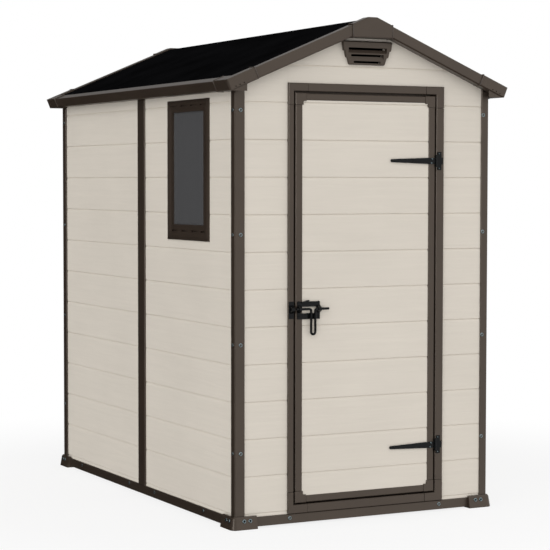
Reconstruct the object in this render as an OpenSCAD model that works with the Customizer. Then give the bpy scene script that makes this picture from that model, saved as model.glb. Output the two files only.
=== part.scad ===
// Garden shed of moulded resin panels: a floor, clad wall panels held by corner
// posts and mullions, a framed door on strap hinges with a sliding bolt, one
// fixed window, gable vents and a dark gabled roof with boxed trims.
// X runs to the right, Y to the back and Z up. The origin is on the ground
// in the middle of the footprint, and the door faces -Y.

/* [Walls] */
// Width over the corner posts
shed_w = 1162; // [900:1:2400]
// Depth over the corner posts
shed_d = 1840; // [1200:1:3000]
// Thickness of a wall panel
panel_t = 18; // [14:1:24]
// How far the posts and rails stand proud of the cladding
skin_t = 5.5; // [4:0.5:8]
// Height of one moulded board
board_pitch = 145; // [110:1:180]
// Height of the lowest board seam
first_seam = 58; // [50:1:70]
// Height of the cove under each seam
cove_h = 15; // [8:1:20]
// Depth of the cove under each seam
cove_d = 4; // [1:0.5:5]

/* [Posts] */
// Width of the wide leg of a corner post
post_wide = 44; // [38:1:60]
// Width of the narrow leg of a corner post
post_narrow = 34; // [33:1:60]
// Thickness of the inner lips of posts and rails
lip_t = 4; // [3:0.5:6]
// Width of a side mullion
side_mullion_w = 74; // [50:1:90]
// Width of the back mullion
back_mullion_w = 60; // [50:1:90]
// How far the side mullions stand in front of the middle
mullion_shift = 13; // [0:1:40]

/* [Base] */
// Height of the rail underside above the ground
rail_z = 6; // [4:1:12]
// Height of the top of the base rails
rail_top = 43; // [36:1:50]
// Thickness of the web of a base rail
rail_web = 8; // [6:1:10]
// Height of the floor surface
floor_top = 36; // [30:1:42]
// Thickness of the floor skin
floor_skin = 10; // [6:1:14]
// Thickness of the floor ribs
floor_rib = 8; // [6:1:12]
// Length of each arm of a foot bracket
foot_len = 92; // [70:1:120]
// Height of a foot bracket
foot_h = 50; // [46:1:60]
// How far a foot bracket stands out at the ground
foot_out = 18; // [14:1:26]
// Radius of the outer corner of a foot bracket
foot_r = 22; // [10:1:30]

/* [Roof] */
// Height of the roof surface at its outer eave edge
eave_z = 1728.5; // [1600:0.5:2100]
// Roof pitch in degrees
pitch = 22.8; // [18:0.1:30]
// Overhang of the roof past the side posts
eave_over = 61; // [52:1:90]
// Overhang of the roof past the front and back posts
gable_over = 52; // [46:1:80]
// Thickness of a roof panel
roof_t = 20; // [14:1:26]
// Thickness of the trim skins
trim_t = 4; // [3:0.5:6]
// How far the corner pieces and ridge caps stand proud of the trims
sleeve = 2.5; // [1:0.5:4]
// Width of the trim flange that lies on the roof
flange_w = 45; // [30:1:60]
// Height of the upright face of a barge board
barge_face = 41.5; // [36:0.5:50]
// Bevel along the lower edge of a barge board
barge_edge = 5; // [3:0.5:8]
// Height of the fascia along an eave
eave_face = 43; // [36:1:50]
// Length of a roof corner piece along the slope
corner_slope = 129; // [100:1:160]
// Length of a roof corner piece along the eave
corner_eave = 114; // [80:1:150]
// Half width of a ridge cap
cap_half = 88; // [70:1:110]
// Half width of the flat on top of a ridge cap
cap_flat = 20; // [10:1:30]
// Height of a ridge cap
cap_h = 81; // [76:1:90]
// Bevel along the edges of the brown mouldings
edge = 2.5; // [1:0.5:3]

/* [Door] */
// Left edge of the door frame
frame_x0 = -349; // [-360:1:-340]
// Right edge of the door frame
frame_x1 = 363; // [340:1:370]
// Height of the top of the door frame
frame_top = 1727.5; // [1600:0.5:1740]
// Width of the latch jamb
jamb_left_w = 24; // [22:1:30]
// Width of the hinge jamb
jamb_right_w = 36; // [34:1:44]
// Height of the door head
head_h = 32; // [26:1:40]
// Height of the top of the sill
sill_top = 78; // [70:1:90]
// How far the frame stands in front of the posts
frame_out = 4; // [0:1:8]
// Clear gap round the door leaf
leaf_gap = 6; // [5.5:0.5:8]
// Thickness of the door leaf
leaf_t = 30; // [26:1:32]
// Width of the leaf stiles
stile_w = 31; // [26:1:40]
// Height of the leaf rails
leaf_rail_h = 28; // [24:1:40]
// How far the leaf panel lies behind its stiles
leaf_recess = 3; // [2:0.5:5]
// Arm of a frame corner piece
frame_corner = 85; // [60:1:100]
// Upright arm of a leaf corner piece
leaf_corner_h = 46; // [40:1:60]
// Level arm of a leaf corner piece
leaf_corner_w = 48; // [44:1:70]
// Radius of the fillet inside a leaf corner piece
notch_r = 4; // [1:0.5:10]
// How far the legs of the leaf's corner pieces stand over the stile and rail
notch_lip = 3.5; // [1:0.5:6]
// Width of the stop strip behind the leaf
stop_w = 14; // [10:1:20]
// Thickness of the stop strip
stop_t = 6; // [4:1:8]

/* [Hinges] */
// Height of the lower hinge
hinge_low_z = 275; // [240:1:330]
// Height of the upper hinge
hinge_high_z = 1428.5; // [1380:0.5:1480]
// Length of a hinge strap from its pin
strap_len = 214; // [150:1:260]
// Height of a strap at its root
strap_h = 25; // [20:1:32]
// Radius of a strap's tip
strap_tip_r = 6.2; // [5:0.1:8]
// Thickness of the hinge and bolt plates
plate_t = 3; // [2:0.5:4]
// Height of a hinge's frame plate
hinge_plate_h = 73; // [60:1:90]
// Width of a hinge's frame plate
hinge_plate_w = 19; // [16:1:24]
// Radius of a hinge knuckle
knuckle_r = 5; // [4:0.5:6]
// Radius of a hinge pin
pin_r = 2.5; // [2:0.1:3]
// Height of a knuckle above and below the strap
knuckle_h = 12; // [8:1:16]

/* [Bolt] */
// Height of the bolt's axis
bolt_z = 847; // [830:1:880]
// Radius of the bolt bar
bar_r = 4.8; // [4:0.1:6]
// Length of the bolt bar
bar_len = 145; // [130:1:170]
// Travel of the bolt
bolt_travel = 31; // [28:1:36]
// Width of the bolt's leaf plate
bolt_plate_w = 100; // [90:1:120]
// Height of the bolt's plates
bolt_plate_h = 69; // [60:1:80]
// Width of the keeper plate on the jamb
keeper_w = 22; // [20:1:24]
// Outer width of the handle loop
loop_w = 28; // [24:1:34]
// Drop of the handle loop below the bolt's axis
loop_drop = 104; // [80:1:120]

/* [Window] */
// Front edge of the window frame
window_y0 = -686; // [-720:1:-640]
// Width of the window frame
window_w = 400; // [300:1:460]
// Height of the window frame's lower edge
window_z0 = 1107; // [1000:1:1200]
// Height of the window frame
window_h = 566; // [400:1:580]
// Width of the window frame's sides
window_side = 52; // [40:1:60]
// Height of the window frame's top member
window_head = 48; // [40:1:60]
// Height of the window frame's bottom member
window_sill = 63; // [50:1:80]
// How far the window frame stands in front of the cladding
window_out = 8; // [6:1:14]
// Width of the moulded border of the window frame
window_border = 37; // [28:1:40]
// Thickness of the pane
pane_t = 4; // [3:0.5:6]

/* [Vents] */
// Height of the top edge of a vent
vent_top = 1898.5; // [1880:0.5:1900]
// Half width of a vent at its top
vent_half = 111; // [90:1:120]
// Height of one louvre step
vent_step = 26; // [20:1:28]
// Drop in half width at each step
vent_in = 10; // [6:1:14]
// How far a vent stands in front of the cladding at its top
vent_out = 18; // [12:1:24]

/* [Hidden] */
$fn = 32;

CREAM = [0.85, 0.82, 0.77];
BROWN = [0.31, 0.27, 0.24];
BLACK = [0.10, 0.11, 0.11];
ROOFING = [0.06, 0.06, 0.07];
GLASS = [0.35, 0.36, 0.37, 0.6];

hw = shed_w / 2;                      // half width over the posts
hd = shed_d / 2;                      // half depth over the posts
fit = 0.3;                            // seat clearance between pieces
inner_v = skin_t + panel_t;           // depth of a panel's inner face
rail_in = inner_v + lip_t;            // depth of a rail's or post's inner face
wall_z = rail_z + rail_web;           // underside of the wall panels
mullion_y = -mullion_shift;

// Roof: a slope distance a from the outer eave edge and a depth n below the
// roof surface give a place in the X-Z plane of the right-hand slope.
roof_hw = hw + eave_over;
roof_hd = hd + gable_over;
function roof_at(a, n) =
    [roof_hw - a * cos(pitch) - n * sin(pitch), eave_z + a * sin(pitch) - n * cos(pitch)];
function roof_z(x, n) =
    eave_z + (roof_hw - abs(x)) * tan(pitch) - n / cos(pitch);
skin_n = sleeve + trim_t;             // depth of the inside of the trims
panel_n0 = skin_n + 0.5;              // top of the roof panels
panel_n1 = panel_n0 + roof_t;         // underside of the roof panels
wall_n = panel_n1 + fit;              // top of the walls
barge_n1 = barge_face + 2.5;          // depth of the soffit over the posts
soffit_z = roof_at(0, eave_face)[1];
ridge_z = roof_z(cap_flat, 0);
cap_z = ridge_z - cap_h;

// Door
pin_x = frame_x1 - jamb_right_w - leaf_gap / 2;
leaf_x0 = frame_x0 + jamb_left_w + leaf_gap;
leaf_x1 = frame_x1 - jamb_right_w - leaf_gap;
leaf_z0 = sill_top + leaf_gap;
leaf_z1 = frame_top - head_h - leaf_gap;
face_y = -hd - frame_out;             // front of the door frame and the stiles
pin_y = face_y - knuckle_r - 0.5;
leaf_face_y = face_y + leaf_recess;
plate_y = face_y - plate_t;           // front of the hinge and bolt plates
stop_v = leaf_t + 5.5;                // depth of the stop strips behind the face
frame_d = stop_v + stop_t;
sill_z = rail_top + 0.5;

// Bolt
bar_y = plate_y - bar_r - 5;
bolt_x0 = frame_x0 + jamb_left_w + 3; // left end of the bar, drawn back
bolt_plate_x = leaf_x0 + 7.5;

// ---- helpers ----

// Extrudes an outline drawn in X and Z from y0 to y1
module xz(y0, y1) {
    translate([0, y1, 0]) rotate([90, 0, 0]) linear_extrude(y1 - y0) children();
}

// Extrudes an outline drawn in Y and Z from x0 to x1
module yz(x0, x1) {
    translate([x0, 0, 0]) rotate([90, 0, 90]) linear_extrude(x1 - x0) children();
}

// A block between two opposite corners
module block(low, high) {
    translate(low) cube(high - low);
}

// A block whose front edges, towards -Y, are bevelled by c
module bevelled(low, high, c) {
    intersection() {
        translate([0, 0, low[2]]) linear_extrude(high[2] - low[2])
            polygon([[low[0] + c, low[1]], [high[0] - c, low[1]], [high[0], low[1] + c],
                     [high[0], high[1]], [low[0], high[1]], [low[0], low[1] + c]]);
        yz(low[0] - 1, high[0] + 1)
            polygon([[low[1], low[2] + c], [low[1], high[2] - c], [low[1] + c, high[2]],
                     [high[1], high[2]], [high[1], low[2]], [low[1] + c, low[2]]]);
    }
}

// The space cut for an opening whose front edges, at y, are bevelled by c
module flared(low, high, y, c) {
    intersection() {
        translate([0, 0, low[2] - c - 1]) linear_extrude(high[2] - low[2] + 2 * c + 2)
            polygon([[low[0] - c, low[1]], [high[0] + c, low[1]], [high[0] + c, y], [high[0], y + c],
                     [high[0], high[1]], [low[0], high[1]], [low[0], y + c], [low[0] - c, y]]);
        yz(low[0] - c - 1, high[0] + c + 1)
            polygon([[low[1], low[2] - c], [low[1], high[2] + c], [y, high[2] + c], [y + c, high[2]],
                     [high[1], high[2]], [high[1], low[2]], [y + c, low[2]], [y, low[2] - c]]);
    }
}

module mirror_x() { children(); mirror([1, 0, 0]) children(); }
module mirror_y() { children(); mirror([0, 1, 0]) children(); }

// Points of a wall panel's section: depth v from the post face, and height.
// The surface hollows towards each seam and steps out there to a drip edge.
function seams(z0, z1) =
    [for (k = [0:20]) let (z = first_seam + k * board_pitch) if (z - cove_h > z0 && z < z1) z];
function cove(z, v) =
    concat([for (t = [0:0.25:1]) [v + cove_d * t * t, z - cove_h + cove_h * t]], [[v, z]]);
function clad_section(z0, z1, v, t) =
    concat([[v, z0]], [for (z = seams(z0, z1)) each cove(z, v)], [[v, z1], [v + t, z1], [v + t, z0]]);

// A clad panel along X for the front wall, from x0 to x1
module front_clad(x0, x1, z0, z1) {
    translate([0, -hd, 0]) yz(x0, x1) polygon(clad_section(z0, z1, skin_t + fit, panel_t - 2 * fit));
}

// A clad panel along Y for the left wall, from y0 to y1
module left_clad(y0, y1, z0, z1) {
    translate([-hw, 0, 0]) xz(y0, y1) polygon(clad_section(z0, z1, skin_t + fit, panel_t - 2 * fit));
}

// The space under the roof panels, in which the walls stand
module under_roof(n) {
    xz(-2 * hd, 2 * hd)
        polygon([[-hw, 0], [hw, 0], [hw, roof_z(hw, n)], [0, roof_z(0, n)], [-hw, roof_z(hw, n)]]);
}

// ---- base ----

module floor_panel() {
    x = hw - rail_in - fit;
    y = hd - rail_in - fit;
    cols = 4;
    rows = 6;
    px = (2 * x - floor_rib) / cols;
    py = (2 * y - floor_rib) / rows;
    color(BROWN) difference() {
        block([-x, -y, 0], [x, y, floor_top]);
        for (i = [0:cols - 1], j = [0:rows - 1])
            translate([-x + floor_rib + i * px, -y + floor_rib + j * py, -1])
                cube([px - floor_rib, py - floor_rib, floor_top - floor_skin + 1]);
    }
}

rail_end = rail_in + 2.5;             // rails stop this far from the corners
module rail_section(v0) {
    polygon([[v0, rail_z], [rail_in, rail_z], [rail_in, floor_top], [inner_v, floor_top],
             [inner_v, wall_z], [skin_t, wall_z], [skin_t, rail_top], [v0 + edge, rail_top],
             [v0, rail_top - edge]]);
}

module base_rails() {
    color(BROWN) {
        mirror_y() translate([0, -hd, 0]) yz(-hw + rail_end, hw - rail_end) rail_section(0);
        mirror_x() translate([-hw, 0, 0]) xz(-hd + rail_end, hd - rail_end) rail_section(0);
    }
}

// One foot bracket at the origin corner, its arms along +X and +Y
module foot_bracket() {
    top_out = 6;
    bevel_out = 11;
    bevel_z = foot_h - 6;
    reach = foot_len;
    c = foot_r - foot_out;
    side = [[-foot_out, 0], [-foot_out, 3], [-bevel_out, bevel_z], [-top_out, foot_h], [c, foot_h], [c, 0]];
    difference() {
        union() {
            xz(c, reach) polygon(side);
            yz(c, reach) polygon(side);
            translate([c, c, 0]) rotate([0, 0, 180]) rotate_extrude(angle = 90, $fn = 64)
                polygon([for (p = side) [c - p[0], p[1]]]);
            block([c, c, 0], [reach, reach, foot_h]);
        }
        block([-fit, -fit, rail_z - fit], [reach + 1, reach + 1, foot_h + 1]);
        block([rail_in - fit, rail_in - fit, -1], [reach + 1, reach + 1, foot_h + 1]);
    }
}

module foot_brackets() {
    color(BROWN) mirror_x() mirror_y() translate([-hw, -hd, 0]) foot_bracket();
}

// ---- posts and mullions ----

// Section of a corner post at the origin corner: a hollow core with a lip on
// each side of both panels. The wide leg lies along X.
module post_section(along_x, along_y) {
    difference() {
        union() {
            polygon([[0, 0], [along_x - edge, 0], [along_x, edge], [along_x, skin_t], [0, skin_t]]);
            polygon([[0, 0], [0, along_y - edge], [edge, along_y], [skin_t, along_y], [skin_t, 0]]);
            square([rail_in, rail_in]);
            translate([0, inner_v]) square([along_x, lip_t]);
            translate([inner_v, 0]) square([lip_t, along_y]);
        }
        translate([lip_t, lip_t]) square([rail_in - 2 * lip_t, rail_in - 2 * lip_t]);
    }
}

post_r = 5;
module corner_post(along_x, along_y) {
    top = roof_z(0, 0);
    intersection() {
        translate([-hw, -hd, 0]) difference() {
            translate([0, 0, rail_z]) linear_extrude(top) difference() {
                post_section(along_x, along_y);
                difference() {
                    translate([-1, -1]) square(post_r + 1);
                    translate([post_r, post_r]) circle(post_r);
                }
            }
            // the rails pass below the legs outside the core
            block([rail_end - fit, -1, 0], [along_x + 1, rail_in + 1, rail_top + fit]);
            block([-1, rail_end - fit, 0], [rail_in + 1, along_y + 1, rail_top + fit]);
        }
        union() {
            intersection() {
                under_roof(wall_n);
                block([-hw, -hd + skin_t, 0], [hw, hd, top]);
            }
            under_roof(barge_n1 + fit);
        }
    }
}

module corner_post_front_left() {
    color(BROWN) corner_post(post_wide, post_narrow);
}

module corner_post_front_right() {
    color(BROWN) mirror([1, 0, 0]) corner_post(post_narrow, post_wide);
}

module corner_post_back_left() {
    color(BROWN) mirror([0, 1, 0]) corner_post(post_narrow, post_wide);
}

module corner_post_back_right() {
    color(BROWN) mirror([1, 0, 0]) mirror([0, 1, 0]) corner_post(post_wide, post_narrow);
}

// Section of a mullion: an H that holds a panel on each side. v is the depth
// and u runs along the wall from the middle of the mullion.
mullion_web = 10;
module mullion_section(w) {
    difference() {
        polygon([[edge - w / 2, 0], [w / 2 - edge, 0], [w / 2, edge], [w / 2, rail_in],
                 [-w / 2, rail_in], [-w / 2, edge]]);
        for (s = [-1, 1]) translate([s * (w / 4 + mullion_web / 4), skin_t + panel_t / 2])
            square([w / 2 - mullion_web / 2 + fit, panel_t], center = true);
    }
}

module side_mullions() {
    color(BROWN) mirror_x() intersection() {
        translate([-hw, mullion_y, rail_top + fit]) rotate([0, 0, -90]) mirror([1, 0, 0])
            linear_extrude(eave_z - rail_top) mullion_section(side_mullion_w);
        under_roof(wall_n);
    }
}

module back_mullion() {
    color(BROWN) intersection() {
        translate([0, hd, rail_top + fit]) mirror([0, 1, 0])
            linear_extrude(ridge_z - rail_top) mullion_section(back_mullion_w);
        union() {
            intersection() {
                under_roof(wall_n);
                block([-hw, 0, 0], [hw, hd - skin_t, ridge_z]);
            }
            block([-hw, 0, 0], [hw, hd, vent_z0 - 2.5]);
        }
    }
}

// ---- walls ----

panel_z = wall_z + 0.5;               // underside of the wall panels
side_y0 = -hd + rail_in + fit;
side_y1 = hd - rail_in - fit;
front_x0 = -hw + rail_in + fit;
front_x1 = hw - rail_in - fit;

module side_front_panel() {
    intersection() {
        left_clad(side_y0, mullion_y - mullion_web / 2 - fit, panel_z, eave_z);
        under_roof(wall_n);
    }
}

module side_rear_panel() {
    intersection() {
        left_clad(mullion_y + mullion_web / 2 + fit, side_y1, panel_z, eave_z);
        under_roof(wall_n);
    }
}

module left_wall_front() {
    color(CREAM) difference() {
        side_front_panel();
        block([-hw - 1, window_y0 + window_flange - fit, window_z0 + window_flange - fit],
              [-hw + rail_in + 1, window_y0 + window_w - window_flange + fit,
               window_z0 + window_h - window_flange + fit]);
    }
}

module left_wall_rear() {
    color(CREAM) side_rear_panel();
}

module right_wall_front() {
    color(CREAM) mirror([1, 0, 0]) side_front_panel();
}

module right_wall_rear() {
    color(CREAM) mirror([1, 0, 0]) side_rear_panel();
}

module front_wall_left() {
    color(CREAM) intersection() {
        front_clad(front_x0, frame_x0 - fit, panel_z, ridge_z);
        under_roof(wall_n);
    }
}

module front_wall_right() {
    color(CREAM) intersection() {
        front_clad(frame_x1 + fit, front_x1, panel_z, ridge_z);
        under_roof(wall_n);
    }
}

// The opening in a gable behind its vent
module vent_hole() {
    top = vent_half - 22;
    low = vent_half - 3 * vent_in - 14;
    z0 = slot_top(2) - slot_h;
    z1 = slot_top(0) + 2;
    xz(-hd - 1, -hd + rail_in + 1) polygon([[-low, z0], [low, z0], [top, z1], [-top, z1]]);
}

module front_gable() {
    color(CREAM) difference() {
        intersection() {
            front_clad(frame_x0, frame_x1, frame_top + fit, ridge_z);
            under_roof(wall_n);
        }
        vent_hole();
    }
}

module back_wall(x0, x1) {
    color(CREAM) mirror([0, 1, 0]) difference() {
        intersection() {
            front_clad(x0, x1, panel_z, ridge_z);
            under_roof(wall_n);
        }
        vent_hole();
    }
}

module back_wall_left() {
    back_wall(front_x0, -mullion_web / 2 - fit);
}

module back_wall_right() {
    back_wall(mullion_web / 2 + fit, front_x1);
}

// ---- window ----

window_flange = 12;                   // lap of the window frame over the wall

// Depth v from the side post face, with y and z measured in from the frame's edge
module window_block(v0, v1, side, head, sill) {
    block([-hw + v0, window_y0 + side, window_z0 + sill],
          [-hw + v1, window_y0 + window_w - side, window_z0 + window_h - head]);
}

// A raised or sunk rectangle, a long and b high: its sides follow a section in
// depth v and distance u from the edge, and meet in mitres
module mitred(section, a, b, y0, z0) {
    both = function (length) concat(section, [for (i = [len(section) - 1:-1:0])
                                              [section[i][0], length - section[i][1]]]);
    intersection() {
        translate([-hw, y0, z0 - 1]) linear_extrude(b + 2) polygon(both(a));
        translate([-hw, y0 - 1, z0]) rotate([90, 0, 0]) mirror([0, 0, 1]) linear_extrude(a + 2) polygon(both(b));
    }
}

module window_frame() {
    pane_v = skin_t + 3;
    crest = skin_t - window_out;
    groove = skin_t - 3;
    u = window_border;
    color(BROWN) difference() {
        union() {
            mitred([[skin_t, 0], [skin_t - 3.5, 0], [crest, 14]],
                   window_w, window_h, window_y0, window_z0);
            window_block(skin_t - 1, rail_in, window_flange, window_flange, window_flange);
        }
        // the hollow inside the moulded border, down to the bead that holds the pane
        mitred([[crest - 1, u - 14], [crest, u - 14], [groove, u]],
               window_w, window_h, window_y0, window_z0);
        window_block(-window_out - 1, rail_in + 1, window_side, window_head, window_sill);
        // the rebate that the pane drops into from inside
        window_block(pane_v, rail_in + 1, window_side - 10, window_head - 10, window_sill - 10);
        // drain slots along the bottom member, and vents along the top one
        for (i = [0:3]) {
            y = window_y0 + window_w - window_border - 3 - i * 95;
            block([-hw + crest - 1, max(y - 52, window_y0 + window_border + 3), window_z0 + window_border - 3],
                  [-hw + pane_v + 3, y, window_z0 + window_border + 4]);
            block([-hw + crest - 1, max(y - 52, window_y0 + window_border + 3), window_z0 + window_h - 25],
                  [-hw + groove + 3, y, window_z0 + window_h - 21]);
        }
    }
}

module window_pane() {
    pane_v = skin_t + 3 + fit;
    color(GLASS) window_block(pane_v, pane_v + pane_t, window_side - 10 + fit,
                              window_head - 10 + fit, window_sill - 10 + fit);
}

// ---- vents ----

slot_h = 8;                           // height of a louvre's slot
function slot_top(k) = vent_top - vent_step * (k + 1) - 0.5;
vent_z0 = slot_top(2) - slot_h - 7;
vent_r = 4;                           // reach of the hood's clipped corners

// Outline in X and Z: narrower at each louvre down, with clipped corners
module vent_outline() {
    w = [for (k = [0:2]) vent_half - k * (vent_in + 1)];
    z = [for (k = [0:2]) k == 0 ? vent_top : slot_top(k - 1) - slot_h];
    for (k = [0:2]) {
        z0 = k == 2 ? vent_z0 : z[k + 1] - 4;
        x0 = k == 2 ? w[k] - 8 : w[k] - 4;
        polygon([[-w[k], z[k] - vent_r], [1 - w[k], z[k] - 1.2], [-w[k] + vent_r, z[k]],
                 [w[k] - vent_r, z[k]], [w[k] - 1, z[k] - 1.2], [w[k], z[k] - vent_r],
                 [x0, z0 + vent_r], [x0 - 1, z0 + 1.2], [x0 - vent_r, z0],
                 [vent_r - x0, z0], [1 - x0, z0 + 1.2], [-x0, z0 + vent_r]]);
    }
}

// A hood with three slots, each over a blade that slopes back inside a rim
module vent() {
    v0 = skin_t;
    rim = v0 - vent_out;
    low = v0 - 9;
    z = [for (k = [0:2]) slot_top(k)];
    section = [[v0, vent_z0], [low, vent_z0], [low - 1.5, vent_z0 + 3], [rim, z[0] + 4],
               [rim, vent_top - 5], [rim + 5, vent_top], [v0, vent_top]];
    color(BROWN) intersection() {
        difference() {
            translate([0, -hd, 0]) yz(-vent_half - 1, vent_half + 1) polygon(section);
            for (k = [0:2]) {
                half = vent_half - 24 - 13 * k;
                front = rim - 1;
                // the slot, and the hollow over the blade that slopes up to it
                block([-half, -hd - 30, z[k] - slot_h], [half, -hd + v0 + 1, z[k]]);
                translate([0, -hd, 0]) yz(-half, half)
                    polygon([[front, z[k] - slot_h + 1], [v0 - 3, z[k] - slot_h + 1],
                             [low + 2 - k, z[k] - slot_h], [rim + 2 + 2.5 * k, z[k] - vent_step + 4],
                             [front, z[k] - vent_step + 4]]);
            }
            block([-vent_half + 38, -hd + v0 - 3, vent_z0 + 5], [vent_half - 38, -hd + v0 + 1, vent_top - 20]);
        }
        xz(-hd - 40, -hd + 40) vent_outline();
        under_roof(barge_n1 + fit);
    }
}

module vent_front() { vent(); }
module vent_back() { mirror([0, 1, 0]) vent(); }

// ---- door frame ----

// The whole ring of the frame, its face standing proud by p. The members and
// the corner pieces are cut from it.
module frame_ring(p) {
    ix0 = frame_x0 + jamb_left_w;
    ix1 = frame_x1 - jamb_right_w;
    iz1 = frame_top - head_h;
    difference() {
        bevelled([frame_x0, face_y - p, sill_z], [frame_x1, face_y + frame_d, frame_top], edge);
        flared([ix0, face_y - p - 1, sill_top], [ix1, face_y + stop_v, iz1], face_y - p, edge);
        block([ix0 + stop_w, face_y, sill_top + stop_w], [ix1 - stop_w, face_y + frame_d + 1, iz1 - stop_w]);
    }
}

module frame_between(x0, x1, z0, z1) {
    color(BROWN) intersection() {
        frame_ring(0);
        block([x0, face_y - 1, z0], [x1, face_y + frame_d + 1, z1]);
    }
}

seam = 1.4;                           // open joint beside a corner piece
stile_inset = 1;                      // the stiles stand back from the leaf's corner pieces
corner_x0 = frame_x0 + frame_corner;
corner_x1 = frame_x1 - frame_corner;
corner_z0 = sill_z + frame_corner;
corner_z1 = frame_top - frame_corner;

module door_jamb_left() {
    frame_between(frame_x0, (frame_x0 + frame_x1) / 2, corner_z0 + seam, corner_z1 - seam);
}

module door_jamb_right() {
    frame_between((frame_x0 + frame_x1) / 2, frame_x1, corner_z0 + seam, corner_z1 - seam);
}

module door_head() {
    frame_between(corner_x0 + seam, corner_x1 - seam, corner_z1, frame_top);
}

module door_sill() {
    frame_between(corner_x0 + seam, corner_x1 - seam, sill_z, corner_z0);
    color(BROWN) block([corner_x0 + fit, -hd + skin_t + fit, panel_z], [corner_x1 - fit, -hd + inner_v - fit, sill_z]);
}

module door_frame_corners() {
    color(BROWN) {
        intersection() {
            frame_ring(1);
            for (x = [[frame_x0, corner_x0], [corner_x1, frame_x1]], z = [[sill_z, corner_z0], [corner_z1, frame_top]])
                block([x[0], face_y - 2, z[0]], [x[1], face_y + frame_d + 1, z[1]]);
        }
        for (x = [[frame_x0, corner_x0], [corner_x1, frame_x1]])
            block([x[0], -hd + skin_t + fit, panel_z], [x[1], -hd + inner_v - fit, sill_z + 1]);
    }
}

// ---- door leaf ----

leaf_back_y = face_y + leaf_t;
notch_x = stile_w + notch_lip;        // width of the legs of a leaf corner piece
notch_z = leaf_rail_h + notch_lip;

// Outline in X and Z of one corner piece, its outer corner at the origin, grown by g
module leaf_corner_outline(g) {
    difference() {
        square([leaf_corner_w + g, leaf_corner_h + g]);
        translate([notch_x + g, notch_z + g]) difference() {
            square([leaf_corner_w, leaf_corner_h]);
            difference() {
                square(notch_r);
                translate([notch_r, notch_r]) circle(notch_r);
            }
        }
    }
}

module at_leaf_corners() {
    for (sx = [0, 1], sz = [0, 1])
        translate([sx == 0 ? leaf_x0 : leaf_x1, 0, sz == 0 ? leaf_z0 : leaf_z1])
            mirror([sx, 0, 0]) mirror([0, 0, sz]) children();
}

module door_panel() {
    v0 = face_y + leaf_recess + hd;
    color(CREAM) difference() {
        translate([0, -hd, 0]) yz(leaf_x0 + stile_w + fit, leaf_x1 - stile_w - fit)
            polygon(clad_section(leaf_z0 + leaf_rail_h + fit, leaf_z1 - leaf_rail_h - fit,
                                 v0, leaf_t - leaf_recess));
        at_leaf_corners() xz(face_y, leaf_back_y + 1) leaf_corner_outline(fit);
    }
}

module door_stiles() {
    z0 = leaf_z0 + leaf_corner_h + seam;
    z1 = leaf_z1 - leaf_corner_h - seam;
    w = stile_w - stile_inset;
    color(BROWN) for (x = [leaf_x0 + stile_inset, leaf_x1 - stile_w]) translate([x, 0, z0]) linear_extrude(z1 - z0)
        polygon([[edge, face_y], [w - edge, face_y], [w, face_y + edge], [w, leaf_back_y],
                 [0, leaf_back_y], [0, face_y + edge]]);
}

module door_rails() {
    x0 = leaf_x0 + leaf_corner_w + seam;
    x1 = leaf_x1 - leaf_corner_w - seam;
    color(BROWN) for (z = [[leaf_z0 + 1, leaf_z0 + leaf_rail_h], [leaf_z1 - leaf_rail_h, leaf_z1 - 2]])
        yz(x0, x1) polygon([[face_y, z[0] + edge], [face_y, z[1] - edge], [face_y + edge, z[1]],
                            [leaf_back_y, z[1]], [leaf_back_y, z[0]], [face_y + edge, z[0]]]);
}

module door_leaf_corners() {
    color(BROWN) intersection() {
        at_leaf_corners() xz(face_y - 1, leaf_back_y) leaf_corner_outline(0);
        bevelled([leaf_x0, face_y - 1, leaf_z0], [leaf_x1, leaf_back_y + 1, leaf_z1], edge);
    }
}

// ---- hinges ----

strap_half = knuckle_h;               // half height of the strap's knuckle
knuckle_gap = 0.5;
hinge_top = strap_half + knuckle_gap + knuckle_h;

module at_hinges() {
    for (z = [hinge_low_z, hinge_high_z]) translate([pin_x, 0, z]) children();
}

module knuckle(z0, z1) {
    translate([0, pin_y, z0]) cylinder(h = z1 - z0, r = knuckle_r);
}

module hinge_plates() {
    x0 = knuckle_r + 1;
    x1 = x0 + hinge_plate_w;
    color(BLACK) at_hinges() {
        block([x0, plate_y, -hinge_plate_h / 2], [x1, face_y, hinge_plate_h / 2]);
        block([x1 - 1, plate_y, -13.5], [x1 + 7, face_y, 13.5]);
        for (s = [-1, 1]) mirror([0, 0, (1 - s) / 2]) {
            knuckle(strap_half + knuckle_gap, hinge_top);
            block([0, plate_y, strap_half + knuckle_gap], [x0 + 1, face_y - 0.5, hinge_top]);
        }
        translate([0, pin_y, -hinge_top]) cylinder(h = 2 * hinge_top, r = pin_r);
    }
}

module hinge_straps() {
    root = strap_h / 2;
    tip = -strap_len + strap_tip_r;
    // screw bosses that bridge the recess behind the strap
    screws = [tip + 10, tip + 99];
    color(BLACK) at_hinges() difference() {
        union() {
            xz(plate_y, face_y) {
                polygon([[-9, root], [-35, root], [tip, strap_tip_r],
                         [tip, -strap_tip_r], [-35, -root], [-9, -root]]);
                translate([tip, 0]) circle(strap_tip_r);
            }
            block([-10, plate_y, -strap_half], [0, face_y - 0.5, strap_half]);
            knuckle(-strap_half, strap_half);
            for (x = screws) translate([x, leaf_face_y, 0]) rotate([90, 0, 0])
                cylinder(h = leaf_recess + 1, r = 5);
        }
        translate([0, pin_y, -hinge_top]) cylinder(h = 2 * hinge_top, r = pin_r + 0.1);
    }
}

// ---- bolt ----

shoulder = 8;                         // bend radius of the bar's centre line
loop_from = 61.5;                     // from the bar's end to the loop
loop_x0 = bolt_x0 + loop_from;
leg_left = loop_x0 + bar_r;
leg_right = loop_x0 + loop_w - bar_r;
bolt_plate_top = 29;                  // plate above the bar

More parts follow.
